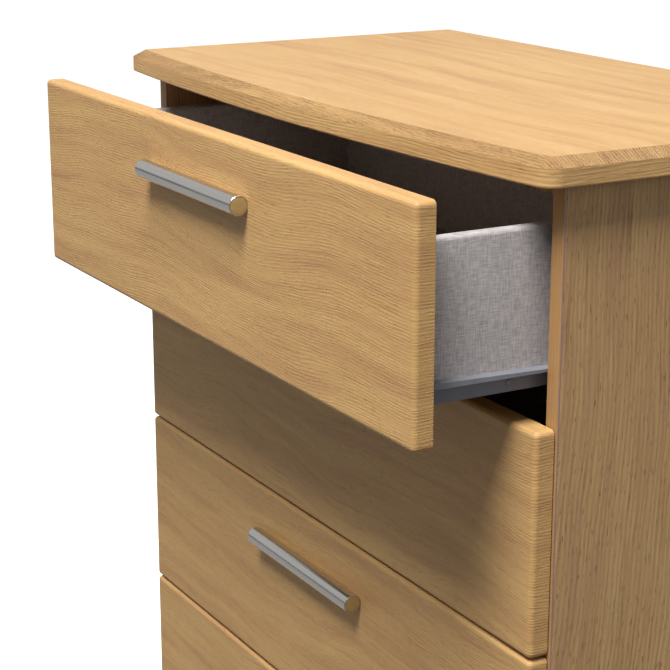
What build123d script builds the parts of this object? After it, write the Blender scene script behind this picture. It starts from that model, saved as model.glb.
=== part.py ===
from build123d import *
import os

# Tall chest of drawers, ready assembled: a board carcass under a bow-fronted top, with
# overlay drawer fronts, bar handles and linen-lined drawer boxes on roller runners.
# Millimetres. The origin is on the floor, in the middle of the plinth board's underside.
# +X is the right-hand side seen from the front, +Y runs to the back, +Z is up.
# Pieces are drawn with y = 0 in the plane of the carcass's front edges, and are moved to
# the origin when they are written.

# ---- carcass ----
drawer_count = 5
carcass_width = 733.0
carcass_depth = 370.0
board_t = 15.0             # sides, base, plinth and rails
edge_band_t = 2.0          # solid edging on the front edge of each side
back_panel_t = 3.0
back_panel_inset = 8.0     # from the rear edges of the sides to the back panel
back_groove_depth = 5.0
plinth_height = 71.5       # floor to the underside of the base panel
plinth_setback = 15.0
top_rail_depth = 70.0
top_rail_setback = 12.0    # from the sides' front edges to the front rail

# ---- top ----
top_t = 22.0
top_side_overhang = 16.0
top_end_overhang = 27.6    # forward of the carcass at the two ends of the bow
top_bow_rise = 20.9        # how much further forward the middle of the bow stands
top_corner_radius = 16.0
top_bevel_width = 13.0
top_bevel_drop = 7.0
top_arris_radius = 1.5

# ---- drawer fronts ----
front_height = 191.0
front_t = 18.0
front_gap = 2.0            # between neighbouring fronts, and above the base panel
front_top_gap = 1.5        # between the highest front and the top
front_side_reveal = 1.5    # how much narrower than the carcass a front is, each side
front_standoff = 1.0       # behind a closed front
front_edge_radius = 4.5
top_drawer_open = 111.5    # the highest drawer stands pulled out by this much

# ---- drawer boxes ----
box_side_t = 12.0
box_side_height = 128.0
box_side_radius = 4.0      # rounded top edges of the sides and back
box_rear_room = 20.0       # from the box to the back panel
box_back_inset = 6.0       # from the rear ends of the sides to the back board
bottom_t = 3.2
bottom_rise = 8.0          # from the sides' lower edge to the bottom's groove
bottom_groove_depth = 6.0
bottom_play = 0.1          # round the bottom in its groove

# ---- handles ----
handle_diameter = 18.0
handle_length = 197.0
handle_drop = 50.0         # from a front's upper edge to the bar's middle
handle_flat = 0.6          # depth of the flat that seats the bar on the front
handle_screw_pitch = 128.0
handle_screw_diameter = 4.0
handle_screw_reach = 8.0   # how far the screw goes into the bar
screw_head_diameter = 8.0
screw_head_height = 2.4
screw_play = 0.03          # radial, between a handle screw and its holes
handle_cap_diameter = 15.6
handle_cap_depth = 1.5
handle_chamfer = 0.5

# ---- roller runners ----
runner_rise = 27.0         # from a front's lower edge to the underside of its runner
runner_gap = 12.5          # between a drawer box and the carcass side
sheet_t = 1.2              # pressed steel
runner_front_room = 2.0    # from a front to the forward end of its drawer member
runner_rear_room = 3.0     # from the rear end of the drawer member to that of the side
lip_height = 16.0          # upper face of the drawer member's lip over its underside
lip_rise = 3.5             # how much higher the lip starts at the front
lip_ramp_length = 115.0
lip_width = 8.5
lip_return = 2.5           # depth of the lip's downturned edge
lip_return_extra = 2.6     # how much deeper that edge is at the front
flange_width = 13.0        # shelf under the drawer side
cabinet_member_front = 12.0       # from the sides' front edges
cabinet_member_rear_room = 16.0   # short of the back panel
track_drop = 6.4           # underside of the track below the drawer member's
guard_height = 12.4        # upper face of the guard flange over the drawer member's underside
guard_width = 7.5
guard_notch = 28.0         # room in the guard flange for the front roller
track_web_clear = 1.2      # between the track and the drawer member
stop_height = 3.0
stop_length = 2.0
runner_end_overlap = 75.0  # of the drawer member left inside at full travel

# ---- rollers ----
roller_diameter = 16.0
roller_width = 5.5
roller_clear = 0.2         # between a roller and what it runs on
axle_diameter = 5.0
axle_play = 0.05           # radial
axle_collar_diameter = 8.0
axle_head_diameter = 7.0
axle_head_t = 0.7
roller_end_play = 0.1
roller_web_clear = 1.2     # between a roller and the drawer member's web
front_roller_inset = 12.0  # from the cabinet member's front end to its roller
rear_roller_inset = 10.0   # from the drawer member's rear end to its roller
roller_edge_radius = 0.6

# ---- derived places ----
origin_y = plinth_setback + board_t / 2
inner_half = carcass_width / 2 - board_t
base_top = plinth_height + board_t
front_pitch = front_height + front_gap
top_underside = base_top + drawer_count * front_pitch + front_top_gap
overall_height = top_underside + top_t
back_panel_y = carcass_depth - back_panel_inset - back_panel_t
front_width = carcass_width - 2 * front_side_reveal
box_half = inner_half - runner_gap
box_rear = back_panel_y - box_rear_room
box_inner_half = box_half - box_side_t
member_front = runner_front_room - front_standoff
member_rear = box_rear - runner_rear_room
cabinet_member_rear = back_panel_y - cabinet_member_rear_room
web_x = box_half + sheet_t
track_top = sheet_t - track_drop
roller_radius = roller_diameter / 2
rear_roller_y = member_rear - rear_roller_inset
rear_roller_z = track_top + roller_clear + roller_radius
front_roller_y = cabinet_member_front + front_roller_inset
front_roller_z = lip_height - sheet_t - roller_clear - roller_radius
roller_x = web_x + roller_web_clear
travel = member_rear - member_front - runner_end_overlap


def drawer_name(index):
    return f"drawer_{index + 1}"


def opening(index):
    """How far drawer `index`, counted from the top, stands open."""
    return top_drawer_open if index == 0 else 0.0


def front_bottom(index):
    """Height of the lower edge of a drawer's front."""
    return base_top + front_gap + (drawer_count - 1 - index) * front_pitch


def slab(x_range, y_range, z_range):
    """A box between two limits along each axis."""
    low, high = zip(x_range, y_range, z_range)
    size = [b - a for a, b in zip(low, high)]
    return Pos(*low) * Box(*size, align=(Align.MIN, Align.MIN, Align.MIN))


def rod(radius, x_range, y, z):
    """A round bar along X between two limits."""
    length = x_range[1] - x_range[0]
    return Pos(x_range[0], y, z) * Rot(0, 90, 0) * Cylinder(
        radius, length, align=(Align.CENTER, Align.CENTER, Align.MIN)
    )


def side_profile(points, x_range):
    """A flat outline given as (y, z) points, thickened along X."""
    face = make_face(Polyline([(0, y, z) for y, z in points], close=True))
    return Pos(x_range[0], 0, 0) * extrude(face, x_range[1] - x_range[0], dir=(1, 0, 0))


def pair(right):
    """A right-hand piece and its mirror image on the left."""
    return [right, mirror(right, about=Plane.YZ)]


def write(name, shapes, forward=0.0):
    """Writes one node, moved to the origin and forward with its drawer."""
    solids = [solid for shape in shapes for solid in shape.solids()]
    moved = [Pos(0, -origin_y - forward, 0) * solid for solid in solids]
    export_step(Compound(children=moved), f"parts/{name}.step")


# ---- carcass pieces ----

def top_outline():
    """Plan of the top: straight back and ends, a shallow bow and rounded front corners."""
    half = carcass_width / 2 + top_side_overhang
    ends = -top_end_overhang
    with BuildSketch() as plan:
        with BuildLine():
            Polyline((-half, ends), (-half, carcass_depth), (half, carcass_depth), (half, ends))
            ThreePointArc((half, ends), (0, ends - top_bow_rise), (-half, ends))
        make_face()
        fillet(plan.vertices().sort_by(Axis.Y)[:2], top_corner_radius)
    return plan.sketch


def without_back(edges):
    """The edges that don't lie along the top's straight back."""
    return [edge for edge in edges if edge.center().Y < carcass_depth - 0.01]


def top_panel():
    panel = Pos(0, 0, top_underside) * extrude(top_outline(), top_t)
    upper = panel.faces().sort_by(Axis.Z)[-1]
    panel = chamfer(
        without_back(upper.edges()), top_bevel_width, top_bevel_drop, reference=upper
    )
    lower = panel.faces().sort_by(Axis.Z)[0]
    return fillet(without_back(lower.edges()), top_arris_radius)


def side_panel():
    """Right side, grooved inside for the back panel."""
    outer = carcass_width / 2
    board = slab((inner_half, outer), (edge_band_t, carcass_depth), (0, top_underside))
    groove = slab(
        (inner_half, inner_half + back_groove_depth),
        (back_panel_y, back_panel_y + back_panel_t),
        (plinth_height, top_underside),
    )
    return board - groove


def side_edge_band():
    return slab((inner_half, carcass_width / 2), (0, edge_band_t), (0, top_underside))


def back_panel():
    half = inner_half + back_groove_depth
    return slab(
        (-half, half),
        (back_panel_y, back_panel_y + back_panel_t),
        (plinth_height, top_underside),
    )


def base_panel():
    return slab((-inner_half, inner_half), (0, back_panel_y), (plinth_height, base_top))


def plinth_board():
    return slab(
        (-inner_half, inner_half),
        (plinth_setback, plinth_setback + board_t),
        (0, plinth_height),
    )


def top_rail(front_y):
    """A stretcher laid flat under the top."""
    return slab(
        (-inner_half, inner_half),
        (front_y, front_y + top_rail_depth),
        (top_underside - board_t, top_underside),
    )


# ---- runners and rollers, drawn for the right-hand side of a closed drawer ----

def drawer_member(datum):
    """Drawer half of a runner: shelf, web, and a lip that rides on the front roller."""
    ramp_end = member_front + lip_ramp_length

    def strip(low_front, low, high_front, high, x_range):
        points = [
            (member_front, datum + low_front),
            (ramp_end, datum + low),
            (member_rear, datum + low),
            (member_rear, datum + high),
            (ramp_end, datum + high),
            (member_front, datum + high_front),
        ]
        return side_profile(points, x_range)

    lip_outer = web_x + lip_width
    lip_front = lip_height + lip_rise
    under_front = lip_front - sheet_t
    return_low = lip_height - lip_return
    return_front = lip_front - lip_return - lip_return_extra
    web = side_profile(
        [
            (member_front, datum),
            (member_rear, datum),
            (member_rear, datum + lip_height),
            (ramp_end, datum + lip_height),
            (member_front, datum + lip_front),
        ],
        (box_half, web_x),
    )
    shelf = slab(
        (box_half - flange_width, web_x), (member_front, member_rear), (datum, datum + sheet_t)
    )
    lip = strip(under_front, lip_height - sheet_t, lip_front, lip_height, (box_half, lip_outer))
    turned = strip(return_front, return_low, lip_front, lip_height, (lip_outer - sheet_t, lip_outer))
    return web + shelf + lip + turned + axle(rear_roller_y, datum + rear_roller_z, web_x, 1)


def cabinet_member(datum):
    """Carcass half of a runner: web, track for the rear roller, guard flange and stop."""
    y_range = (cabinet_member_front, cabinet_member_rear)
    web_inner = inner_half - sheet_t
    track_inner = web_x + track_web_clear
    web = slab((web_inner, inner_half), y_range, (datum - track_drop, datum + guard_height))
    track = slab((track_inner, inner_half), y_range, (datum - track_drop, datum + track_top))
    guard = slab(
        (web_inner - guard_width, inner_half),
        (cabinet_member_front + guard_notch, cabinet_member_rear),
        (datum + guard_height - sheet_t, datum + guard_height),
    )
    reach = (roller_radius**2 - (rear_roller_z - track_top - stop_height) ** 2) ** 0.5
    stop_rear = rear_roller_y - travel - reach - roller_clear
    stop = slab(
        (track_inner, inner_half),
        (stop_rear - stop_length, stop_rear),
        (datum + track_top, datum + track_top + stop_height),
    )
    return web + track + guard + stop + axle(front_roller_y, datum + front_roller_z, web_inner, -1)


def axle(y, z, root_x, way):
    """Riveted axle with a collar; `way` is the sign of X from its web to its head."""
    near = roller_x - roller_end_play
    far = roller_x + roller_width + roller_end_play
    collar_end, head_start = (near, far) if way > 0 else (far, near)
    collar = rod(axle_collar_diameter / 2, sorted((root_x, collar_end)), y, z)
    pin = rod(axle_diameter / 2, sorted((root_x, head_start)), y, z)
    head_end = head_start + way * axle_head_t
    return collar + pin + rod(axle_head_diameter / 2, sorted((head_start, head_end)), y, z)


def roller(y, z):
    """Nylon roller with a bored hub."""
    x_range = (roller_x, roller_x + roller_width)
    wheel = rod(roller_radius, x_range, y, z)
    wheel = fillet(wheel.edges().filter_by(GeomType.CIRCLE), roller_edge_radius)
    return wheel - rod(axle_diameter / 2 + axle_play, x_range, y, z)


# ---- drawer pieces, drawn closed ----

def groove_range(datum):
    """Lower and upper edge of the groove that holds the drawer bottom."""
    low = datum + sheet_t + bottom_rise
    return (low, low + bottom_t + 2 * bottom_play)


def front_panel(low, datum):
    """Foil-wrapped board with rounded edges, grooved and drilled at the back."""
    half = front_width / 2
    face_y = -front_standoff - front_t
    board = slab((-half, half), (face_y, -front_standoff), (low, low + front_height))
    corners = board.edges().filter_by(Axis.Y)
    rim = board.faces().sort_by(Axis.Y)[0].edges()
    board = fillet([*corners, *rim], front_edge_radius)
    reach = box_inner_half + bottom_groove_depth
    groove_y = (-front_standoff - bottom_groove_depth, -front_standoff)
    board = board - slab((-reach, reach), groove_y, groove_range(datum))
    radius = handle_screw_diameter / 2 + screw_play
    for x, z in handle_screw_places(low):
        hole = Cylinder(radius, front_t, align=(Align.CENTER, Align.CENTER, Align.MIN))
        board = board - Pos(x, face_y, z) * Rot(-90, 0, 0) * hole
    return board


def handle_screw_places(low):
    """Positions (x, z) of the two handle screws in the front with lower edge `low`."""
    z = low + front_height - handle_drop
    return [(side * handle_screw_pitch / 2, z) for side in (-1, 1)]


def handle_bar(low):
    """Round bar with a narrow seating flat, end recesses and two blind fixing holes."""
    face_y = -front_standoff - front_t
    radius = handle_diameter / 2
    y = face_y + handle_flat - radius
    z = low + front_height - handle_drop
    half = handle_length / 2
    bar = rod(radius, (-half, half), y, z)
    bar = chamfer(bar.edges().filter_by(GeomType.CIRCLE), handle_chamfer)
    bar = bar - slab((-half, half), (face_y, face_y + radius), (z - radius, z + radius))
    for end in (-1, 1):
        recess = sorted((end * half, end * (half - handle_cap_depth)))
        bar = bar - rod(handle_cap_diameter / 2, recess, y, z)
    screw_radius = handle_screw_diameter / 2 + screw_play
    depth = handle_screw_reach + screw_play
    for x, screw_z in handle_screw_places(low):
        hole = Cylinder(screw_radius, depth, align=(Align.CENTER, Align.CENTER, Align.MIN))
        bar = bar - Pos(x, face_y, screw_z) * Rot(90, 0, 0) * hole
    return bar


def handle_screws(low):
    """Two pan-head screws put in from inside the drawer."""
    shank = Cylinder(
        handle_screw_diameter / 2,
        front_t + handle_screw_reach,
        align=(Align.CENTER, Align.CENTER, Align.MIN),
    )
    head = Pos(0, 0, -screw_head_height) * Cylinder(
        screw_head_diameter / 2,
        screw_head_height,
        align=(Align.CENTER, Align.CENTER, Align.MIN),
    )
    crown = head.edges().sort_by(Axis.Z)[0]
    screw = fillet(crown, screw_head_height / 2) + shank
    return [
        Pos(x, -front_standoff, z) * Rot(90, 0, 0) * screw
        for x, z in handle_screw_places(low)
    ]


def box_side(datum):
    """Right side of a drawer box, with a rounded top edge and a groove for the bottom."""
    low = datum + sheet_t
    board = slab((box_inner_half, box_half), (-front_standoff, box_rear), (low, low + box_side_height))
    crown = board.faces().sort_by(Axis.Z)[-1].edges().filter_by(Axis.Y)
    board = fillet(crown, box_side_radius)
    reach = (box_inner_half, box_inner_half + bottom_groove_depth)
    return board - slab(reach, (-front_standoff, box_rear), groove_range(datum))


def box_back(datum):
    high = datum + sheet_t + box_side_height
    rear = box_rear - box_back_inset
    board = slab(
        (-box_inner_half, box_inner_half),
        (rear - box_side_t, rear),
        (groove_range(datum)[1], high),
    )
    crown = board.faces().sort_by(Axis.Z)[-1].edges().filter_by(Axis.X)
    return fillet(crown, box_side_radius)


def box_bottom(datum):
    """Thin board held in the grooves of the front and sides, under the back."""
    half = box_inner_half + bottom_groove_depth - bottom_play
    low = groove_range(datum)[0] + bottom_play
    front = -front_standoff - bottom_groove_depth + bottom_play
    return slab((-half, half), (front, box_rear - box_back_inset), (low, low + bottom_t))


def write_carcass():
    right_side = side_panel()
    write("top_panel", [top_panel()])
    write("right_side_panel", [right_side])
    write("left_side_panel", [mirror(right_side, about=Plane.YZ)])
    write("side_edge_bands", pair(side_edge_band()))
    write("back_panel", [back_panel()])
    write("base_panel", [base_panel()])
    write("plinth_board", [plinth_board()])
    write("front_top_rail", [top_rail(top_rail_setback)])
    write("back_top_rail", [top_rail(back_panel_y - top_rail_depth)])
    members = []
    for index in range(drawer_count):
        members += pair(cabinet_member(front_bottom(index) + runner_rise))
    write("cabinet_runners", members)


def write_drawer(index):
    name = drawer_name(index)
    low = front_bottom(index)
    datum = low + runner_rise
    forward = opening(index)
    side = box_side(datum)
    write(f"{name}_front", [front_panel(low, datum)], forward)
    write(f"{name}_right_side", [side], forward)
    write(f"{name}_left_side", [mirror(side, about=Plane.YZ)], forward)
    write(f"{name}_back", [box_back(datum)], forward)
    write(f"{name}_bottom", [box_bottom(datum)], forward)
    write(f"{name}_handle", [handle_bar(low)], forward)
    write(f"{name}_handle_screws", handle_screws(low), forward)
    write(f"{name}_runners", pair(drawer_member(datum)), forward)
    write(f"{name}_rear_rollers", pair(roller(rear_roller_y, datum + rear_roller_z)), forward)
    write(f"{name}_cabinet_rollers", pair(roller(front_roller_y, datum + front_roller_z)))


os.makedirs("parts", exist_ok=True)
write_carcass()
for drawer in range(drawer_count):
    write_drawer(drawer)
print("overall height", overall_height, "travel", travel)
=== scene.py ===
"""Tall chest of drawers in oak effect: its looks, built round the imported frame.

Metres, in the frame's axes: +X to the right seen from the front, +Y to the back, +Z up.
Every new piece is a surface worked out from two parameters, with its place in its mesh.
"""
import math

import bmesh
import bpy
import numpy as np
from mathutils import Matrix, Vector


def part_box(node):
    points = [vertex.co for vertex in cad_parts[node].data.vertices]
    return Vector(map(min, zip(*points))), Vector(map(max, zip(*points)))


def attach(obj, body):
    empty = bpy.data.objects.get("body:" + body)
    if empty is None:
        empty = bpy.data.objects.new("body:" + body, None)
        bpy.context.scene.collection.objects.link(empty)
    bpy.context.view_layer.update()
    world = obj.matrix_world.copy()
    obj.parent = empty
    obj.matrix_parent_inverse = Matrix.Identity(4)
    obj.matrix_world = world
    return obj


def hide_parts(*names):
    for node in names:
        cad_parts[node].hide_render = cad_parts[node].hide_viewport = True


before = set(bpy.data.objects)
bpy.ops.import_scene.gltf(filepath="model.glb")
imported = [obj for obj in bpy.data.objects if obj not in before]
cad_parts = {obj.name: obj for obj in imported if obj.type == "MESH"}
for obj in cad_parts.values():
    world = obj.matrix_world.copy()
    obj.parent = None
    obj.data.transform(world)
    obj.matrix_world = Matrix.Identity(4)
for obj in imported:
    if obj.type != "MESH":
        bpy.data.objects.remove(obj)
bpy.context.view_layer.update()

mm = 0.001
drawer_count = 5
quarter = math.pi / 2       # a quarter turn

# ---- sizes that the frame's boxes don't give ----
front_radius = 4.5 * mm     # rounded edges and corners of a drawer front
top_bevel = 13 * mm
top_bevel_drop = 7 * mm
top_corner = 16 * mm
top_bow = 20.9 * mm
top_arris = 1.5 * mm
arris = 0.4 * mm            # broken edges of sawn and edged boards
crown_radius = 4 * mm       # upper edges of drawer sides and backs
bottom_groove = 6 * mm
groove_rise = 8 * mm        # from a drawer side's lower edge to its groove
groove_height = 3.4 * mm
bar_radius = 9 * mm
bar_flat = 0.6 * mm
bar_chamfer = 0.5 * mm
recess_radius = 7.8 * mm
recess_depth = 1.5 * mm
web_x = 340.2 * mm          # outer face of a drawer runner's web
cabinet_web_x = 350.3 * mm  # inner face of a cabinet runner's web
runner_datum_rise = 27 * mm  # from a front's lower edge to its runner's underside
rivet_places = (84 * mm, 212 * mm, 300 * mm)         # behind a drawer front
rivet_rise = 7.3 * mm       # above that underside
runner_screw_places = (60 * mm, 190 * mm, 310 * mm)  # behind a cabinet runner's front end
runner_screw_rise = 2 * mm
rivet_head = (2.6 * mm, 0.8 * mm)                    # each head's radius and height
screw_head = (3.4 * mm, 1.2 * mm)
pin_head = (1.6 * mm, 0.5 * mm)
back_pin_inset = 7.5 * mm   # from the back panel's upper and lower edges to its pins
back_pin_reach = 330 * mm   # from the chest's middle to the outermost pins
merge_distance = 2e-6       # points nearer than this are one point


# ==== nodes and colours ====

def linear(colour):
    """An sRGB hex colour as linear red, green, blue and alpha."""
    parts = [int(colour[i : i + 2], 16) / 255 for i in (1, 3, 5)]
    return (*[c / 12.92 if c <= 0.04045 else ((c + 0.055) / 1.055) ** 2.4 for c in parts], 1.0)


def add(tree, kind, inputs=None, stops=None, **settings):
    """Adds one node with its settings. An input takes a value, an sRGB hex colour or a socket."""
    node = tree.nodes.new("ShaderNode" + kind)
    for name, value in settings.items():
        setattr(node, name, value)
    if stops:
        elements = node.color_ramp.elements
        while len(elements) < len(stops):
            elements.new(0.5)
        for element, (place, colour) in zip(elements, stops):
            element.position = place
            element.color = linear(colour)
    for name, value in (inputs or {}).items():
        if isinstance(value, bpy.types.NodeSocket):
            tree.links.new(value, node.inputs[name])
        else:
            node.inputs[name].default_value = linear(value) if isinstance(value, str) else value
    return node


def new_material(name):
    material = bpy.data.materials.new(name)
    material.use_nodes = True
    material.node_tree.nodes.clear()
    return material, material.node_tree


def finish_material(tree, inputs):
    """Closes a material with its Principled surface."""
    surface = add(tree, "BsdfPrincipled", inputs)
    add(tree, "OutputMaterial", {"Surface": surface.outputs[0]})


def grain_place(tree, source):
    """Coordinates (along, across, through) the grain, in metres, as one vector.
    source is "grain" for a piece's own UV map, or the axis that the grain runs along."""
    if source == "grain":
        return add(tree, "UVMap", uv_map="grain").outputs[0]
    place = add(tree, "TexCoord").outputs["Object"]
    parts = add(tree, "SeparateXYZ", {0: place}).outputs
    order = {"X": "XYZ", "Z": "ZXY"}[source]
    return add(tree, "CombineXYZ", {i: parts[a] for i, a in enumerate(order)}).outputs[0]


def cell_noise(tree, place, size, detail, rough=0.5):
    """Noise whose cells measure `size` metres: (along, across) the grain, or three lengths."""
    cell = (*size, size[-1])[:3]
    cells = add(tree, "Mapping", {"Vector": place, "Scale": [1 / length for length in cell]})
    noise = add(tree, "TexNoise", {
        "Vector": cells.outputs[0], "Scale": 1.0, "Detail": detail, "Roughness": rough})
    return noise.outputs[0]


# ==== materials ====

def oak(name, tones, dark, source,
        relief=1.0, contrast=1.0, streaks=0.3, pitch=0.003, order=0.35, stroke=0.016):
    """Oak-effect foil, printed and embossed. The print has soft bands between three tones,
    a few darker growth lines and short dashes for open pores. The embossing is short strokes
    `stroke` long, and ridges `pitch` apart whose share is `order`; both come and go.
    Real pores are 0.2 mm wide; they are drawn 1.2 mm wide so that they show."""
    drift_reach, shiver_reach, ridge_slip = 0.008, 0.0019, 9.0
    ridge_shade, pore_shade, ridge_depth = 0.11, 0.32, 0.00009
    material, tree = new_material(name)
    place = grain_place(tree, source)

    drift = cell_noise(tree, place, (0.22, 0.05), 1.0)
    shiver = cell_noise(tree, place, (0.026, 0.009), 2.0)
    bend = add(tree, "Math", {0: drift, 1: drift_reach}, operation="MULTIPLY")
    wander = add(tree, "Math", {0: shiver, 1: shiver_reach, 2: bend.outputs[0]},
                 operation="MULTIPLY_ADD")
    shift = add(tree, "CombineXYZ", {1: wander.outputs[0]})
    flow = add(tree, "VectorMath", {0: place, 1: shift.outputs[0]}, operation="ADD").outputs[0]

    bands = cell_noise(tree, flow, (0.30, 0.022), 5.0, 0.65)
    tone = add(tree, "ValToRGB", {0: bands},
               stops=[(0.32, tones[0]), (0.5, tones[1]), (0.68, tones[2])])
    seasons = cell_noise(tree, flow, (0.13, 0.0034), 3.0, 0.6)
    lines = add(tree, "MapRange", {
        "Value": seasons, "From Min": 0.58, "From Max": 0.74, "To Max": streaks})
    lined = add(tree, "Mix", {0: lines.outputs[0], 6: tone.outputs[0], 7: dark},
                data_type="RGBA")

    phase = cell_noise(tree, flow, (0.09, 0.012), 2.0)
    across = add(tree, "SeparateXYZ", {0: flow}).outputs[1]
    turns = add(tree, "Math", {0: across, 1: 2 * math.pi / pitch}, operation="MULTIPLY")
    slip = add(tree, "Math", {0: phase, 1: ridge_slip, 2: turns.outputs[0]},
               operation="MULTIPLY_ADD")
    ridge = add(tree, "Math", {0: slip.outputs[0]}, operation="SINE")
    share = add(tree, "Math", {0: ridge.outputs[0], 1: order}, operation="MULTIPLY")
    strokes = cell_noise(tree, flow, (stroke, pitch / 2), 3.0, 0.7)
    cut = add(tree, "MapRange", {
        "Value": strokes, "From Min": 0.3, "From Max": 0.7, "To Min": -1.0})
    both = add(tree, "Math", {0: cut.outputs[0], 1: 1.0 - order, 2: share.outputs[0]},
               operation="MULTIPLY_ADD")
    patch = cell_noise(tree, flow, (0.06, 0.015), 2.0)
    presence = add(tree, "MapRange", {
        "Value": patch, "From Min": 0.36, "From Max": 0.6, "To Min": 0.4})
    emboss = add(tree, "Math", {0: both.outputs[0], 1: presence.outputs[0]},
                 operation="MULTIPLY").outputs[0]
    shade = add(tree, "Math", {0: emboss, 1: ridge_shade * contrast, 2: 1.0},
                operation="MULTIPLY_ADD")
    shaded = add(tree, "VectorMath", {0: lined.outputs[2], "Scale": shade.outputs[0]},
                 operation="SCALE")

    pores = cell_noise(tree, flow, (0.011, 0.0012), 1.0)
    dashes = add(tree, "MapRange", {
        "Value": pores, "From Min": 0.62, "From Max": 0.74, "To Max": pore_shade * contrast})
    colour = add(tree, "Mix", {0: dashes.outputs[0], 6: shaded.outputs[0], 7: dark},
                 data_type="RGBA")

    bump = add(tree, "Bump", {
        "Strength": 1.0, "Distance": ridge_depth * relief, "Height": emboss})
    finish_material(tree, {
        "Base Color": colour.outputs[2], "Roughness": 0.5, "Specular IOR Level": 0.35,
        "Normal": bump.outputs[0]})
    return material


def edging():
    """Plain oak-coloured plastic edging, extruded: nearly even, with a faint run along it."""
    material, tree = new_material("oak coloured extruded edging")
    run = cell_noise(tree, grain_place(tree, "Z"), (0.12, 0.0016), 2.0)
    tone = add(tree, "ValToRGB", {0: run}, stops=[(0.3, "#a87c4a"), (0.7, "#b88d5a")])
    finish_material(tree, {"Base Color": tone.outputs[0], "Roughness": 0.42})
    return material


def glue_flank():
    """Cut flank of the edging, where the clear layer and the glue line give a cool mauve."""
    material, tree = new_material("trimmed edging flank")
    run = cell_noise(tree, grain_place(tree, "Z"), (0.05, 0.001), 1.0)
    tone = add(tree, "ValToRGB", {0: run}, stops=[(0.3, "#9d8073"), (0.7, "#a98c7e")])
    finish_material(tree, {"Base Color": tone.outputs[0], "Roughness": 0.35})
    return material


def linen(name, flat=False):
    """Linen-effect foil, printed: two crossed sets of slubby threads, 1.6 mm apart,
    warm grey with a little mauve. Real threads are finer and wouldn't show. The threads
    cross in upright planes, or in the level plane where `flat` is true."""
    fine, slub = 0.0008, 0.010
    material, tree = new_material(name)
    place = add(tree, "TexCoord").outputs["Object"]
    weft = cell_noise(tree, place, (fine, slub, slub) if flat else (slub, slub, fine), 2.0)
    warp = cell_noise(tree, place, (slub, fine, slub) if flat else (fine, fine, slub), 2.0)
    both = add(tree, "Math", {0: weft, 1: warp}, operation="ADD")
    level = add(tree, "Math", {0: both.outputs[0], 1: 0.5}, operation="MULTIPLY").outputs[0]
    tone = add(tree, "ValToRGB", {0: level},
               stops=[(0.36, "#918b8a"), (0.5, "#a8a2a1"), (0.64, "#bdb7b6")])
    bump = add(tree, "Bump", {"Strength": 0.5, "Distance": 0.0001, "Height": level})
    finish_material(tree, {
        "Base Color": tone.outputs[0], "Roughness": 0.7, "Normal": bump.outputs[0]})
    return material


def satin_bar():
    """Steel bar, satin plated after brushing along its length: soft grey with fine long
    lines, drawn 0.5 mm wide so that they show."""
    material, tree = new_material("satin nickel plated steel bar")
    lines = cell_noise(tree, grain_place(tree, "X"), (0.06, 0.0005), 2.0)
    tone = add(tree, "ValToRGB", {0: lines}, stops=[(0.3, "#cbc8c3"), (0.7, "#d8d5d0")])
    rough = add(tree, "MapRange", {"Value": lines, "To Min": 0.17, "To Max": 0.26})
    bump = add(tree, "Bump", {"Strength": 0.2, "Distance": 0.00003, "Height": lines})
    finish_material(tree, {
        "Base Color": tone.outputs[0], "Metallic": 1.0, "Roughness": rough.outputs[0],
        "Normal": bump.outputs[0]})
    return material


def end_plug():
    """Moulded polystyrene end plug in an oak colour, with a faint sparked texture."""
    material, tree = new_material("moulded oak coloured plug")
    place = add(tree, "TexCoord").outputs["Object"]
    spark = add(tree, "TexNoise", {"Vector": place, "Scale": 1 / 0.0012, "Detail": 2.0})
    tone = add(tree, "ValToRGB", {0: spark.outputs[0]}, stops=[(0.3, "#a38858"), (0.7, "#b19665")])
    bump = add(tree, "Bump", {"Strength": 0.3, "Distance": 0.0001, "Height": spark.outputs[0]})
    finish_material(tree, {
        "Base Color": tone.outputs[0], "Roughness": 0.45, "Normal": bump.outputs[0]})
    return material


def coated_steel():
    """Pressed steel with a blue-grey epoxy coat, baked: slight orange peel and rubbed patches."""
    material, tree = new_material("blue-grey epoxy coated steel")
    place = add(tree, "TexCoord").outputs["Object"]
    cloud = add(tree, "TexNoise", {"Vector": place, "Scale": 1 / 0.03, "Detail": 3.0})
    tone = add(tree, "ValToRGB", {0: cloud.outputs[0]}, stops=[(0.3, "#73747b"), (0.7, "#82838a")])
    peel = add(tree, "TexNoise", {"Vector": place, "Scale": 1 / 0.0015, "Detail": 1.0})
    bump = add(tree, "Bump", {"Strength": 0.25, "Distance": 0.00008, "Height": peel.outputs[0]})
    rough = add(tree, "MapRange", {"Value": cloud.outputs[0], "To Min": 0.3, "To Max": 0.5})
    finish_material(tree, {
        "Base Color": tone.outputs[0], "Roughness": rough.outputs[0], "Normal": bump.outputs[0]})
    return material


def zinc_plate(name, tones):
    """Zinc plate on small steel hardware: metal with a cloudy bluish bloom."""
    material, tree = new_material(name)
    place = add(tree, "TexCoord").outputs["Object"]
    bloom = add(tree, "TexNoise", {"Vector": place, "Scale": 1 / 0.004, "Detail": 3.0})
    tone = add(tree, "ValToRGB", {0: bloom.outputs[0]}, stops=[(0.3, tones[0]), (0.7, tones[1])])
    rough = add(tree, "MapRange", {"Value": bloom.outputs[0], "To Min": 0.22, "To Max": 0.42})
    finish_material(tree, {
        "Base Color": tone.outputs[0], "Metallic": 1.0, "Roughness": rough.outputs[0]})
    return material


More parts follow.
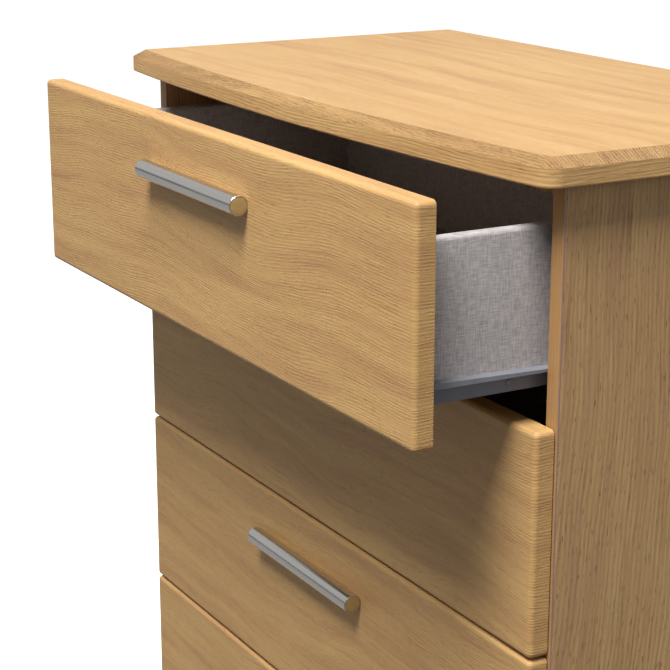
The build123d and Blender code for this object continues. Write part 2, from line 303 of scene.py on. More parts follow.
def nylon():
    """Moulded white nylon: faintly warm, semi-matt, with a hint of flow marks."""
    material, tree = new_material("moulded white nylon")
    place = add(tree, "TexCoord").outputs["Object"]
    marks = add(tree, "TexNoise", {"Vector": place, "Scale": 1 / 0.003, "Detail": 2.0})
    tone = add(tree, "ValToRGB", {0: marks.outputs[0]}, stops=[(0.3, "#dcdad2"), (0.7, "#eae8e1")])
    rough = add(tree, "MapRange", {"Value": marks.outputs[0], "To Min": 0.4, "To Max": 0.55})
    finish_material(tree, {"Base Color": tone.outputs[0], "Roughness": rough.outputs[0]})
    return material


def hardboard():
    """Pressed wood fibre, brown: a soft cloudy tone with short pale and dark fibres, 1 to 4 mm
    across, curling all ways but mostly level, under a smooth matt face. Real ones are finer."""
    material, tree = new_material("pressed brown hardboard")
    place = add(tree, "TexCoord").outputs["Object"]
    cloud = add(tree, "TexNoise", {"Vector": place, "Scale": 1 / 0.09, "Detail": 3.0})
    tone = add(tree, "ValToRGB", {0: cloud.outputs[0]}, stops=[(0.3, "#876849"), (0.7, "#92724f")])
    curl = add(tree, "TexNoise", {
        "Vector": place, "Scale": 1 / 0.004, "Detail": 2.0, "Distortion": 1.6})
    lying = add(tree, "VectorMath", {0: place, 1: (0.4, 0.4, 1.0)}, operation="MULTIPLY")
    fibre = add(tree, "TexNoise", {
        "Vector": lying.outputs[0], "Scale": 1 / 0.0012, "Detail": 3.0, "Distortion": 1.0})
    both = add(tree, "Math", {0: curl.outputs[0], 1: fibre.outputs[0]}, operation="ADD")
    fleck = add(tree, "MapRange", {
        "Value": both.outputs[0], "From Min": 0.7, "From Max": 1.3, "To Min": 0.86, "To Max": 1.14})
    colour = add(tree, "VectorMath", {0: tone.outputs[0], "Scale": fleck.outputs[0]},
                 operation="SCALE")
    bump = add(tree, "Bump", {"Strength": 0.4, "Distance": 0.0001, "Height": both.outputs[0]})
    finish_material(tree, {
        "Base Color": colour.outputs[0], "Roughness": 0.7, "Normal": bump.outputs[0]})
    return material


def chipboard():
    """Sawn chipboard edge: pressed flakes about 2.5 mm across in mixed browns, open and matt."""
    material, tree = new_material("sawn raw chipboard")
    place = add(tree, "TexCoord").outputs["Object"]
    flakes = add(tree, "TexVoronoi", {"Vector": place, "Scale": 1 / 0.0025}, feature="F1")
    pick = add(tree, "SeparateXYZ", {0: flakes.outputs["Color"]})
    tone = add(tree, "ValToRGB", {0: pick.outputs[0]}, stops=[
        (0.0, "#7d6140"), (0.35, "#a8875a"), (0.7, "#c4a678"), (1.0, "#8d6f49")])
    bump = add(tree, "Bump", {
        "Strength": 0.7, "Distance": 0.0004, "Height": flakes.outputs["Distance"]})
    finish_material(tree, {
        "Base Color": tone.outputs[0], "Roughness": 0.9, "Normal": bump.outputs[0]})
    return material


foil_tones = ["#b5895b", "#c29962", "#cba46a"]
# The top's tones are the fronts' foil painted darker: painted shade that offsets the stronger
# overhead light falling on the top.
top_tones_painted_shade = ["#ae8458", "#b89260", "#c09c6a"]
# The bevel's tones are the same foil painted darker still: painted shade for how the bevel reads in
# the light.
bevel_tones_painted_shade = ["#956f45", "#a27d4e", "#b08b58"]
# The rim's tones are the fronts' foil painted lighter: painted light on the top's front edge.
rim_tones_painted_light = ["#b98f5f", "#c69d67", "#cfa86f"]
panel_tones = ["#b08864", "#b69164", "#be9c6c"]
oak_front = oak("oak effect foil, embossed", foil_tones, "#85592f", "grain",
                relief=1.4, contrast=1.35, streaks=0.45, pitch=0.0026)
# Same foil as the fronts, with painted shade in its darker tones.
oak_top_painted_shade = oak("oak effect foil on the top, embossed, with painted shade", top_tones_painted_shade, "#93693c", "grain",
              relief=1.3, contrast=1.35, streaks=0.5)
# Same foil with painted light in its lighter tones.
oak_rim_painted_light = oak("oak effect foil round the top's edge, painted lighter", rim_tones_painted_light, "#85592f", "grain",
              relief=1.5, contrast=1.5, streaks=0.5, stroke=0.03)
# Same foil with painted shade. Its strong stroke contrast is print, and partly painted highlights
# for the light that its embossing catches.
oak_bevel_painted_shade = oak("oak effect foil pressed over the bevel", bevel_tones_painted_shade, "#7d5a34", "grain",
                relief=9.0, contrast=3.4, streaks=0.5, stroke=0.008)
oak_panel = oak("oak effect facing, pressed", panel_tones, "#69481f", "grain",
                contrast=2.2, streaks=0.6, pitch=0.0042, order=0.5, stroke=0.06)
oak_board = oak("oak effect facing on boards, pressed", panel_tones, "#7f5f3d", "X",
                contrast=1.2)
linen_wrap = linen("linen effect foil")
linen_base = linen("linen effect print on hardboard", flat=True)
edge_plain = edging()
edge_flank = glue_flank()
bar_metal = satin_bar()
plug_plastic = end_plug()
runner_coat = coated_steel()
zinc = zinc_plate("bright zinc plated steel", ["#b9bcc0", "#d3d5d6"])
rivet_zinc = zinc_plate("dulled zinc plated steel", ["#7d7f82", "#939598"])
roller_nylon = nylon()
fibre_board = hardboard()
raw_chip = chipboard()


# ==== surfaces ====

def grid_faces(rows, columns, start=0):
    """Corner numbers of a grid's quads, for points numbered row by row from `start`."""
    index = np.arange(rows * columns).reshape(rows, columns) + start
    quads = np.stack([index[:-1, :-1], index[:-1, 1:], index[1:, 1:], index[1:, :-1]], -1)
    return quads.reshape(-1, 4).tolist()


def surface(name, body, slot, materials, sheets, caps=(), replaces=()):
    """Joins sheets of grid points, and flat many-sided caps, into one closed smooth mesh.
    A sheet is (points, grain, material number): rows x columns of places and of UV pairs."""
    places, pairs, faces, numbers = [], [], [], []
    start = 0
    for points, grain, number in sheets:
        rows, columns = points.shape[:2]
        faces += grid_faces(rows, columns, start)
        numbers += [number] * ((rows - 1) * (columns - 1))
        places.append(points.reshape(-1, 3))
        pairs.append(grain.reshape(-1, 2))
        start += rows * columns
    for points, grain, number in caps:
        faces.append(list(range(start, start + len(points))))
        numbers.append(number)
        places.append(points)
        pairs.append(grain)
        start += len(points)
    mesh = bpy.data.meshes.new(name)
    mesh.from_pydata(np.concatenate(places).tolist(), [], faces)
    corners = np.concatenate([np.array(face) for face in faces])
    layer = mesh.uv_layers.new(name="grain")
    layer.data.foreach_set("uv", np.concatenate(pairs)[corners].astype(np.float32).ravel())
    mesh.polygons.foreach_set("material_index", numbers)
    for material in materials:
        mesh.materials.append(material)
    shell = bmesh.new()
    shell.from_mesh(mesh)
    bmesh.ops.remove_doubles(shell, verts=shell.verts, dist=merge_distance)
    bmesh.ops.recalc_face_normals(shell, faces=shell.faces)
    shell.to_mesh(mesh)
    shell.free()
    mesh.polygons.foreach_set("use_smooth", [True] * len(mesh.polygons))
    mesh.set_sharp_from_angle(angle=math.radians(35))
    piece = bpy.data.objects.new(name, mesh)
    bpy.context.scene.collection.objects.link(piece)
    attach(piece, body)
    if replaces:
        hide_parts(*replaces)


def steps(low, high, cell, margin):
    """Places from low to high about `cell` apart, with one line `margin` inside each end."""
    count = max(2, round((high - low) / cell) + 1)
    return np.concatenate([[low], np.linspace(low + margin, high - margin, count), [high]])


def growth(along, across, crown, waves, knots=()):
    """One number whose lines of equal value are the grain of a sawn board.
    It is the distance from a crown point, with distances along the grain shrunk by a factor,
    so that the lines are long nested arches. Each wave adds a sine along the grain, which
    slips a little from line to line, and each knot adds a soft hill that they bend round."""
    line_slip = 9
    at, level, shrink = crown
    value = np.sqrt((across - level) ** 2 + (shrink * (along - at)) ** 2)
    for length, height, phase in waves:
        value = value + height * np.sin(2 * np.pi * along / length + phase + across * line_slip)
    for knot_along, knot_across, reach, width, height in knots:
        away = ((along - knot_along) / reach) ** 2 + ((across - knot_across) / width) ** 2
        value = value + height * np.exp(-away)
    return value


def grain_of(along, across, seed, pattern):
    """UV pair of a point: its place along the grain and its growth value, both moved by the
    seed so that no two pieces have the same figure."""
    along_step, across_step = 1.7, 0.61
    value = growth(along, across, **pattern)
    return np.stack([along + along_step * seed, value + across_step * seed], -1)


def rounded_path(xs, zs):
    """Closed path round a rectangle, with its outward normals, which fan at each corner."""
    fan = np.linspace(0, quarter, 8)[1:-1]
    sides = [
        (np.stack([xs, np.full(len(xs), zs[0])], -1), -quarter),
        (np.stack([np.full(len(zs), xs[-1]), zs], -1), 0),
        (np.stack([xs[::-1], np.full(len(xs), zs[-1])], -1), quarter),
        (np.stack([np.full(len(zs), xs[0]), zs[::-1]], -1), 2 * quarter),
    ]
    places, angles = [], []
    for side, angle in sides:
        places += [side, np.repeat(side[-1:], len(fan), 0)]
        angles += [np.full(len(side), angle), angle + fan]
    places = np.concatenate(places + [sides[0][0][:1]])
    angles = np.concatenate(angles + [[3 * quarter]])
    return places, np.stack([np.cos(angles), np.sin(angles)], -1)


# ==== drawer fronts ====

front_grain = [
    {"crown": (0.2, -0.6, 0.05), "waves": [(0.46, 0.006, 0.4), (0.17, 0.0016, 2.0)],
     "knots": [(0.10, -0.002, 0.045, 0.020, 0.008), (0.17, -0.045, 0.06, 0.022, -0.007),
               (-0.22, -0.055, 0.05, 0.016, 0.006), (-0.03, 0.045, 0.10, 0.03, -0.006)]},
    {"crown": (-0.3, -0.5, 0.05), "waves": [(0.38, 0.005, 1.2), (0.15, 0.0015, 0.3)],
     "knots": [(0.19, 0.03, 0.06, 0.022, 0.007), (-0.2, -0.03, 0.07, 0.02, -0.006)]},
    {"crown": (0.1, -0.6, 0.05), "waves": [(0.5, 0.005, 2.6), (0.14, 0.0014, 1.0)],
     "knots": [(0.2, 0.04, 0.05, 0.02, 0.007), (-0.24, 0.02, 0.08, 0.024, 0.007)]},
    {"crown": (-0.1, -0.5, 0.05), "waves": [(0.41, 0.006, 3.4), (0.16, 0.0014, 0.5)],
     "knots": [(-0.12, -0.03, 0.05, 0.02, 0.007), (0.25, 0.01, 0.07, 0.02, -0.005)]},
    {"crown": (0.3, -0.6, 0.05), "waves": [(0.44, 0.005, 4.4), (0.13, 0.0014, 2.5)],
     "knots": [(0.05, 0.04, 0.06, 0.02, 0.007), (0.26, -0.04, 0.05, 0.02, -0.006)]},
]


def front_board(number):
    """A wrapped drawer front. The face is a flat grid; its rim is a quarter round and then
    a flat flank, carried round the face's edge. The foil is unrolled over the rim, so the
    grain runs on over the edges: UV = edge place + normal x distance round the rim."""
    arris_reach, rear_reach = 24 * mm, 29 * mm   # that distance at the rear arris
    rear_shift = 0.9                             # gives the rear face another figure
    low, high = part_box(f"drawer_{number}_front")
    radius = front_radius
    xs = steps(low.x + radius, high.x - radius, 4 * mm, 0.4 * mm)
    zs = steps(low.z + radius, high.z - radius, 4 * mm, 0.4 * mm)
    middle = (low.z + high.z) / 2
    pattern = front_grain[number - 1]

    def grain(along, up):
        return grain_of(along, up - middle, number, pattern)

    columns, rows = np.meshgrid(xs, zs, indexing="ij")
    face = np.stack([columns, np.full(columns.shape, low.y), rows], -1)
    back = face + (0, high.y - low.y, 0)
    path, normal = rounded_path(xs, zs)
    turn = np.linspace(0, quarter, 8)
    flank = steps(low.y + radius, high.y - arris, 3 * mm, 0.3 * mm)[1:]
    out = np.concatenate([radius * np.sin(turn), np.full(len(flank), radius), [radius - arris, 0]])
    depth = np.concatenate([low.y + radius * (1 - np.cos(turn)), flank, [high.y, high.y]])
    reach = np.concatenate([
        radius * turn, radius * quarter + flank - flank[0], [arris_reach, rear_reach]])
    edge = path[:, None] + normal[:, None] * out[:, None]
    rim = np.stack([edge[..., 0], np.broadcast_to(depth, edge.shape[:2]), edge[..., 1]], -1)
    unrolled = path[:, None] + normal[:, None] * reach[:, None]
    sheets = [
        (face, grain(columns, rows), 0),
        (rim, grain(unrolled[..., 0], unrolled[..., 1]), 0),
        (back, grain(columns + rear_shift, rows), 0),
    ]
    surface(f"drawer_{number}_front_board", f"drawer_{number}", "oak_foil", [oak_front], sheets,
            replaces=[f"drawer_{number}_front"])


# ==== top ====

top_grain = {"crown": (-0.3, -0.7, 0.05), "waves": [(0.52, 0.005, 0.6), (0.2, 0.0015, 2.2)],
             "knots": [(0.22, -0.02, 0.13, 0.04, 0.010), (-0.12, 0.12, 0.16, 0.04, -0.010)]}
top_rim_grain = {"crown": (0.3, -0.02, 0.02), "waves": [(0.3, 0.001, 0)]}
top_grain_middle = 0.15     # how far back the middle of the top's figure lies
back_edge_shift = 1.3       # these three put the edges' figures clear of any crown
rim_start, rim_level = -0.5, 0.02


def top_board():
    """The top: a straight back and ends, a shallow bow in front, rounded front corners, a
    bevel above and an arris below. Its rim is one profile carried round the plan outline;
    the upper and lower faces are columns that run from the front outline to the back."""
    low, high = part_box("top_panel")
    half = high.x
    bow_radius = (half**2 + top_bow**2) / (2 * top_bow)
    bow_centre = low.y + bow_radius
    corner_x = half - top_corner
    corner_y = bow_centre - math.sqrt((bow_radius - top_corner) ** 2 - corner_x**2)
    lean = math.atan2(corner_x, bow_centre - corner_y)
    turn = np.linspace(0, lean - quarter, 12)
    bow = np.linspace(lean, -lean, 190)[1:-1]
    back_rows = steps(corner_y, high.y, 5 * mm, 0.4 * mm)

    right_normal = np.stack([np.cos(turn), np.sin(turn)], -1)
    right = np.array([corner_x, corner_y]) + top_corner * right_normal
    bow_normal = np.stack([np.sin(bow), -np.cos(bow)], -1)
    bow_line = np.array([0, bow_centre]) + bow_radius * bow_normal
    flip = np.array([-1, 1])
    front = np.concatenate([right, bow_line, right[::-1] * flip])
    front_normal = np.concatenate([right_normal, bow_normal, right_normal[::-1] * flip])
    end = np.stack([np.full(len(back_rows), half), back_rows], -1)
    end_normal = np.tile([1.0, 0.0], (len(end), 1))
    path = np.concatenate([end[:0:-1], front, end[1:] * flip])
    normal = np.concatenate([end_normal[1:], front_normal, end_normal[1:] * flip])

    side = steps(low.z + top_arris, high.z - top_bevel_drop, 3 * mm, 0.3 * mm)[::-1]
    under = np.linspace(0, quarter, 5)[1:]
    bevel = np.linspace(0, 1, 5)
    inset = np.concatenate([
        top_bevel * (1 - bevel), np.zeros(len(side) - 1), top_arris * (1 - np.cos(under))])
    level = np.concatenate([
        high.z - top_bevel_drop * bevel, side[1:], low.z + top_arris * (1 - np.sin(under))])

    def ring(picks):
        place = path[:, None] - normal[:, None] * inset[picks][:, None]
        height = np.broadcast_to(level[picks], place.shape[:2])
        return np.stack([place[..., 0], place[..., 1], height], -1)

    upper = slice(0, len(bevel))
    lower = slice(len(bevel) - 1, None)
    slope = np.hypot(top_bevel, top_bevel_drop) * bevel
    inner = path - normal * top_bevel
    unrolled = inner[:, None] + normal[:, None] * slope[:, None]
    walk = np.concatenate([[0], np.cumsum(np.linalg.norm(np.diff(path, axis=0), axis=1))])
    around, drop = np.broadcast_arrays(walk[:, None], (high.z - level)[lower])

    def plate(offset, z, seed):
        line = front - front_normal * offset
        share = (back_rows - corner_y) / (high.y - corner_y)
        y = line[:, 1:] + share * (high.y - line[:, 1:])
        x = np.broadcast_to(line[:, :1], y.shape)
        grain = grain_of(x, y - top_grain_middle, seed, top_grain)
        return np.stack([x, y, np.full(y.shape, z)], -1), grain, 0

    bevel_grain = grain_of(unrolled[..., 0], unrolled[..., 1] - top_grain_middle, 7, top_grain)
    rim_grain = grain_of(around + rim_start, drop + rim_level, 10, top_rim_grain)
    back = np.stack([
        (front[:, :1] - front_normal[:, :1] * inset),
        np.full((len(front), len(inset)), high.y),
        np.broadcast_to(level, (len(front), len(inset)))], -1)
    back_grain = grain_of(back[..., 0], back[..., 2] - back_edge_shift, 9, top_grain)
    sheets = [
        plate(top_bevel, high.z, 7),
        (ring(upper), bevel_grain, 1),
        (ring(lower), rim_grain, 2),
        plate(top_arris, low.z, 8),
        (back, back_grain, 0),
    ]
    surface("top_board", "carcass", "oak_foil", [oak_top_painted_shade, oak_bevel_painted_shade, oak_rim_painted_light], sheets,
            replaces=["top_panel"])


# ==== boards ====

def board_sheets(low, high, cell, grain_axis, seed, pattern, centre=(0, 0, 0), numbers=None):
    """Six grids of a board with rounded arrises. A grid point is first put on the plain box,
    then moved to the arris radius from the nearest point of the box shrunk by that radius.
    On the four long faces the grain's level is the sum of both cross places, so it runs on
    over the edges. `numbers` gives a face's material number by (axis, side)."""
    low, high, centre = np.array(low), np.array(high), np.array(centre)
    half_turn = arris * (1 - np.tan(np.radians([45, 22.5])))
    lines = []
    for axis in range(3):
        start, stop = low[axis], high[axis]
        count = max(2, round((stop - start) / cell[axis]) + 1)
        middle = np.linspace(start + arris, stop - arris, count)
        lines.append(np.concatenate([start + half_turn, middle, (stop - half_turn)[::-1]]))
    sheets = []
    for axis in range(3):
        a, b = [i for i in range(3) if i != axis]
        for side, level in ((-1, low[axis]), (1, high[axis])):
            grid = np.zeros((len(lines[a]), len(lines[b]), 3))
            grid[..., axis] = level
            grid[..., a] = lines[a][:, None]
            grid[..., b] = lines[b]
            core = np.clip(grid, low + arris, high - arris)
            away = grid - core
            points = core + arris * away / np.linalg.norm(away, axis=-1, keepdims=True)
            local = grid - centre
            across = [i for i in range(3) if i != grain_axis]
            if axis == grain_axis:
                grain = grain_of(local[..., a], local[..., b], seed + 0.3, pattern)
            else:
                girth = local[..., across[0]] + local[..., across[1]]
                grain = grain_of(local[..., grain_axis], girth, seed, pattern)
            sheets.append((points, grain, (numbers or {}).get((axis, side), 0)))
    return sheets


side_grain = {"crown": (1.3, 0.1, 0.12), "waves": [(0.6, 0.003, 0.4), (0.21, 0.001, 1.5)],
              "knots": [(0.45, -0.08, 0.15, 0.04, 0.010)]}
rail_grain = {"crown": (-1.2, -0.2, 0.03), "waves": [(0.3, 0.001, 0.4)]}


def carcass_boards():
    """Sides faced in vertical grain with raw rear, upper and lower edges; their edging; and
    the base and plinth, faced in level grain."""
    figure_middle = (0, 0.15, 0)
    for side, seed in (("right", 20), ("left", 22)):
        low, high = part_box(f"{side}_side_panel")
        raw = {(1, 1): 1, (2, -1): 1, (2, 1): 1}
        sheets = board_sheets(low, high, (15 * mm, 4 * mm, 9 * mm), 2, seed, side_grain,
                              centre=figure_middle, numbers=raw)
        surface(f"{side}_side_board", "carcass", "oak_board", [oak_panel, raw_chip], sheets,
                replaces=[f"{side}_side_panel"])
    low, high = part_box("side_edge_bands")
    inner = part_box("right_side_panel")[0].x
    sheets = []
    for near, far in ((inner, high.x), (low.x, -inner)):
        sheets += board_sheets(
            (near, low.y, low.z), (far, high.y, high.z), (7 * mm, 2 * mm, 50 * mm),
            2, 24, rail_grain, numbers={(0, -1): 1, (0, 1): 1})
    surface("side_edging", "carcass", "edge_band", [edge_plain, edge_flank], sheets,
            replaces=["side_edge_bands"])
    for node, seed in (("base_panel", 26), ("plinth_board", 28)):
        low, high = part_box(node)
        sheets = board_sheets(low, high, (20 * mm, 6 * mm, 6 * mm), 0, seed, rail_grain)
        surface(f"{node}_faced", "carcass", "oak_board", [oak_panel], sheets, replaces=[node])


# ==== drawer boxes ====

def crowned_prism(width_range, height_range, groove=None):
    """Outline of a board seen end on, square below and quarter-round at both upper edges.
    A groove is (lower, upper, depth) cut in from the low side of the width."""
    w0, w1 = width_range
    h0, h1 = height_range
    r = crown_radius
    turn = np.linspace(0, quarter, 7)
    outer = [(w1 - r + r * math.cos(t), h1 - r + r * math.sin(t)) for t in turn]
    inner = [(w0 + r - r * math.sin(t), h1 - r + r * math.cos(t)) for t in turn]
    cut = []
    if groove:
        g0, g1, deep = groove
        cut = [(w0, g1), (w0 + deep, g1), (w0 + deep, g0), (w0, g0)]
    return np.array([(w0, h0), (w1, h0), *outer, *inner, *cut])


def drawer_box(number):
    """Linen-wrapped sides and back: an outline carried along the board; and the bottom."""
    body = f"drawer_{number}"
    for side, sign in (("right", 1), ("left", -1)):
        low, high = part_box(f"{body}_{side}_side")
        inner, outer = sorted((abs(low.x), abs(high.x)))
        groove = (low.z + groove_rise, low.z + groove_rise + groove_height, bottom_groove)
        outline = crowned_prism((inner, outer), (low.z, high.z), groove)
        loop = np.concatenate([outline, outline[:1]])
        ys = np.linspace(low.y, high.y, 30)
        points = np.zeros((len(ys), len(loop), 3))
        points[..., 0] = sign * loop[:, 0]
        points[..., 1] = ys[:, None]
        points[..., 2] = loop[:, 1]
        caps = [(points[row, :-1], outline, 0) for row in (0, -1)]
        surface(f"{body}_{side}_side_board", body, "linen_board", [linen_wrap],
                [(points, points[..., 1:], 0)], caps, replaces=[f"{body}_{side}_side"])
    low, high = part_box(f"{body}_back")
    outline = crowned_prism((low.y, high.y), (low.z, high.z))
    loop = np.concatenate([outline, outline[:1]])
    xs = np.linspace(low.x, high.x, 40)
    points = np.zeros((len(xs), len(loop), 3))
    points[..., 0] = xs[:, None]
    points[..., 1:] = loop
    caps = [(points[row, :-1], outline, 0) for row in (0, -1)]
    surface(f"{body}_back_board", body, "linen_board", [linen_wrap],
            [(points, points[..., :2], 0)], caps, replaces=[f"{body}_back"])
    low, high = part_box(f"{body}_bottom")
    sheets = board_sheets(low, high, (20 * mm, 20 * mm, 4 * mm), 0, 30 + number, rail_grain,
                          numbers={(2, 1): 1})
    surface(f"{body}_bottom_board", body, "hardboard_linen", [fibre_board, linen_base], sheets,
            replaces=[f"{body}_bottom"])


# ==== handles ====

def revolved(centre, angles, radii, heights, axis, limit=None):
    """A profile of (radius, height) turned about an axis through `centre`; `limit` cuts the
    circle off flat at that distance on the +Y side of an X axis."""
    ring = np.stack([np.cos(angles), np.sin(angles)], -1)
    across = ring[:, None] * np.array(radii)[:, None]
    if limit is not None:
        across[..., 0] = np.minimum(across[..., 0], limit)
    points = np.zeros((len(angles), len(radii), 3))
    a, b = [(1, 2), (0, 2), (0, 1)][axis]
    points[..., a] = centre[a] + across[..., 0]
    points[..., b] = centre[b] + across[..., 1]
    points[..., axis] = centre[axis] + np.array(heights)
    return points


def handle(number):
    """A round bar with chamfered rims, a narrow seating flat behind and a recess in each end
    that holds a plug. The section is a circle cut off by the flat; the axial profile goes from
    the bottom of one recess, out over its rim, along the bar and into the other recess."""
    body = f"drawer_{number}"
    low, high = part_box(f"{body}_handle")
    half = high.x
    centre = np.array([0, low.y + bar_radius, (low.z + high.z) / 2])
    line = 0.1 * mm     # from the chamfer's edge to the extra line that keeps it crisp
    end_radius = [0, recess_radius * 0.5, recess_radius, recess_radius,
                  bar_radius - bar_chamfer, bar_radius - line, bar_radius]
    end_place = np.array([recess_depth, recess_depth, recess_depth, 0,
                          0, bar_chamfer - line, bar_chamfer])
    straight = half - bar_chamfer - 2 * mm
    middle = np.linspace(-straight, straight, 40)
    radii = np.concatenate([end_radius, np.full(len(middle), bar_radius), end_radius[::-1]])
    places = np.concatenate([end_place - half, middle, half - end_place[::-1]])
    seat = math.acos((bar_radius - bar_flat) / bar_radius)
    angles = np.linspace(seat, 2 * math.pi - seat, 72)
    angles = np.concatenate([[0], angles, [2 * math.pi]])
    points = revolved(centre, angles, radii, places, 0, limit=bar_radius - bar_flat)
    surface(f"{body}_handle_bar", body, "handle_metal", [bar_metal],
            [(points, points[..., :2], 0)], replaces=[f"{body}_handle"])
    play = 0.05 * mm            # round and behind a plug
    flat_play = 0.1 * mm        # between a plug and the seating flat
    plug_sink = 0.1 * mm        # from the bar's end down to the plug's rim
    round_off = 0.35 * mm
    plug_radius = recess_radius - play
    turn = np.linspace(0, quarter, 5)
    circle = np.linspace(0, 2 * math.pi, 49)
    radii = np.concatenate([
        [0, plug_radius * 0.5], plug_radius - round_off * (1 - np.sin(turn)), [plug_radius, 0]])
    crown = np.concatenate([
        [plug_sink / 2, plug_sink], plug_sink + round_off * (1 - np.cos(turn)),
        [recess_depth - play, recess_depth - play]])
    sheets = []
    for end in (-1, 1):
        points = revolved(centre, circle, radii, end * (half - crown), 0,
                          limit=bar_radius - bar_flat - flat_play)
        sheets.append((points, points[..., 1:], 0))
    surface(f"{body}_handle_plugs", body, "edge_band", [plug_plastic], sheets)


# ==== small hardware ====

def domed_head(centre, way, axis, radius, height):
    """A pan head: flat underside at `centre`, rounded rim and a slightly domed crown."""
    turn = np.linspace(0, quarter, 5)
    soft = 0.55 * height
    radii = np.concatenate([
        [0, radius], radius - soft * (1 - np.cos(turn))[1:], [0.45 * radius, 0]])
    rise = np.concatenate([
        [0, 0], height - soft + soft * np.sin(turn)[1:], [height * 1.06, height * 1.1]])
    circle = np.linspace(0, 2 * math.pi, 25)
    points = revolved(centre, circle, radii, way * rise, axis)
    return points, points[..., :2], 0


def drawer_rivets(number):
    """Rivet heads that hold each drawer runner's web to the drawer side."""
    body = f"drawer_{number}"
    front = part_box(f"{body}_front")
    datum = front[0].z + runner_datum_rise
    sheets = []
    for sign in (-1, 1):
        for back in rivet_places:
            centre = (sign * web_x, front[1].y + back, datum + rivet_rise)
            sheets.append(domed_head(centre, sign, 0, *rivet_head))
    surface(f"{body}_runner_rivets", body, "zinc_steel", [rivet_zinc], sheets)


def runner_screws():
    """Pan-head screws that fix each cabinet runner to the carcass side, and the pins that
    hold the back panel to the base and the rear rail."""
    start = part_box("cabinet_runners")[0].y
    sheets = []
    for number in range(1, drawer_count + 1):
        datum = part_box(f"drawer_{number}_front")[0].z + runner_datum_rise
        for sign in (-1, 1):
            for back in runner_screw_places:
                centre = (sign * cabinet_web_x, start + back, datum + runner_screw_rise)
                sheets.append(domed_head(centre, -sign, 0, *screw_head))
    surface("cabinet_runner_screws", "carcass", "zinc_steel", [zinc], sheets)
    low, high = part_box("back_panel")
    sheets = []
    for z in (low.z + back_pin_inset, high.z - back_pin_inset):
        for x in np.linspace(-back_pin_reach, back_pin_reach, 7):
            sheets.append(domed_head((x, high.y, z), 1, 1, *pin_head))
    surface("back_panel_pins", "carcass", "zinc_steel", [zinc], sheets)


# ==== building ====

top_board()
carcass_boards()
runner_screws()
for number in range(1, drawer_count + 1):
    front_board(number)
    drawer_box(number)
    handle(number)
    drawer_rivets(number)

finishes = {"runners": runner_coat, "screws": zinc, "rollers": roller_nylon,
            "rail": raw_chip, "back_panel": fibre_board}
for name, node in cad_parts.items():
    chosen = [finishes[word] for word in finishes if name.endswith(word)]
    node.data.materials.clear()
    node.data.materials.append(chosen[0] if chosen else oak_board)


# ==== floor, light and camera ====

def floor():
    """A pale round floor that curves up into a wall: a profile of (radius, height) turned
    about Z. The curve is a quarter of a circle, and the wall stands above it."""
    flat, curve, wall = 12.0, 3.0, 12.0     # radius, radius and height, in metres
    circle = np.linspace(0, 2 * math.pi, 97)
    cove = np.linspace(0, quarter, 13)[1:]
    radii = np.concatenate([[0.0, 2.0, flat], flat + curve * np.sin(cove), [flat + curve]])
    heights = np.concatenate([[0.0, 0.0, 0.0], curve * (1 - np.cos(cove)), [wall]])
    points = np.zeros((len(circle), len(radii), 3))
    points[..., 0] = np.cos(circle)[:, None] * radii
    points[..., 1] = np.sin(circle)[:, None] * radii
    points[..., 2] = heights
    mesh = bpy.data.meshes.new("floor")
    mesh.from_pydata(points.reshape(-1, 3).tolist(), [], grid_faces(*points.shape[:2]))
    shell = bmesh.new()
    shell.from_mesh(mesh)
    bmesh.ops.remove_doubles(shell, verts=shell.verts, dist=merge_distance)
    bmesh.ops.recalc_face_normals(shell, faces=shell.faces)
    if min(shell.faces, key=lambda face: face.calc_center_median().length).normal.z < 0:
        bmesh.ops.reverse_faces(shell, faces=shell.faces)
    shell.to_mesh(mesh)
    shell.free()
    material, tree = new_material("pale matt studio floor")
    finish_material(tree, {
        "Base Color": "#e6e6e6", "Roughness": 1.0, "Specular IOR Level": 0.0,
        "Emission Color": "#ffffff", "Emission Strength": 0.7})
    mesh.polygons.foreach_set("use_smooth", [True] * len(mesh.polygons))
    mesh.materials.append(material)
    piece = bpy.data.objects.new("floor", mesh)
    bpy.context.scene.collection.objects.link(piece)
    piece.visible_diffuse = False   # the sky's lower half stands for what the floor throws back
    piece.visible_glossy = False
    piece.visible_shadow = False


def softbox(name, toward, size, level):
    """A rectangular lamp seen from the chest along `toward`, facing it. `level` is how bright it
    makes a white surface that faces it: power = level x pi squared x distance squared."""
    distance = 5.5
    chest_middle = np.array([0, -0.1, 0.8])
    toward = np.array(toward) / np.linalg.norm(toward)
    panel = bpy.data.lights.new(name, "AREA")
    panel.shape = "RECTANGLE"
    panel.size, panel.size_y = size
    panel.energy = level * (math.pi * distance) ** 2
    lamp = bpy.data.objects.new(name, panel)
    side = np.cross((0, 1, 0), toward)
    side = side / np.linalg.norm(side)
    matrix = np.eye(4)
    matrix[:3, 0], matrix[:3, 1], matrix[:3, 2] = side, np.cross(toward, side), toward
    matrix[:3, 3] = chest_middle + toward * distance
    lamp.matrix_world = Matrix(matrix.tolist())
    bpy.context.scene.collection.objects.link(lamp)


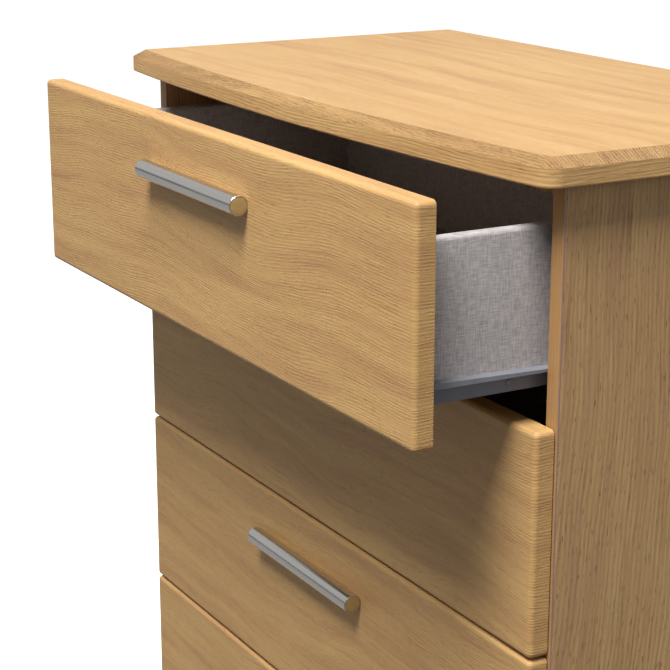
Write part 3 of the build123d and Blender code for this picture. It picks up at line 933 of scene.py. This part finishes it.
def studio():
    """One large overhead box that leans to the front and a little to the right, weak fills
    from the right and the rear, and a sky that is brighter to the left. The sky has a darker
    band at the horizon, which metal shows as a fine dark line."""
    below, band, above = "#7b7b7b", "#4a4a4a", "#8e8e8e"
    softbox("overhead box", (0.29, -0.42, 1.0), (2.0, 2.4), 1.79)
    softbox("right fill", (1.0, 0.35, 0.3), (2.4, 2.4), 0.06)
    softbox("rear fill", (-0.2, 1.0, 0.15), (2.4, 2.4), 0.45)
    world = bpy.data.worlds.new("white studio")
    world.use_nodes = True
    tree = world.node_tree
    tree.nodes.clear()
    direction = add(tree, "TexCoord").outputs["Generated"]
    aim = add(tree, "SeparateXYZ", {0: direction}).outputs
    level = add(tree, "MapRange", {"Value": aim[2], "From Min": -1.0})
    sky = add(tree, "ValToRGB", {0: level.outputs[0]}, stops=[
        (0.0, below), (0.44, below), (0.46, band), (0.51, band), (0.53, above), (1.0, above)])
    left = add(tree, "MapRange", {
        "Value": aim[0], "From Min": -0.2, "From Max": -0.85, "To Min": 1.0, "To Max": 2.1})
    background = add(tree, "Background", {"Color": sky.outputs[0], "Strength": left.outputs[0]})
    add(tree, "OutputWorld", {"Surface": background.outputs[0]})
    bpy.context.scene.world = world


def camera():
    """The view from above the right front corner, with a long lens."""
    azimuth, pitch = math.radians(60.56), math.radians(-15.67)
    from_front_edges = np.array([1.48082, -0.82649, 1.32167])
    heading = np.array([-math.sin(azimuth), math.cos(azimuth)])
    ahead = np.array([*(heading * math.cos(pitch)), math.sin(pitch)])
    right = np.array([math.cos(azimuth), math.sin(azimuth), 0])
    up = np.cross(right, ahead)
    place = from_front_edges + (0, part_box("side_edge_bands")[0].y, 0)
    lens = bpy.data.cameras.new("view")
    lens.lens = 100.62
    lens.sensor_width = 36
    lens.clip_start = 0.05
    lens.clip_end = 100
    view = bpy.data.objects.new("view", lens)
    matrix = np.eye(4)
    matrix[:3, 0], matrix[:3, 1], matrix[:3, 2], matrix[:3, 3] = right, up, -ahead, place
    view.matrix_world = Matrix(matrix.tolist())
    bpy.context.scene.collection.objects.link(view)
    bpy.context.scene.camera = view


floor()
studio()
camera()
bpy.context.scene.view_settings.view_transform = "Standard"
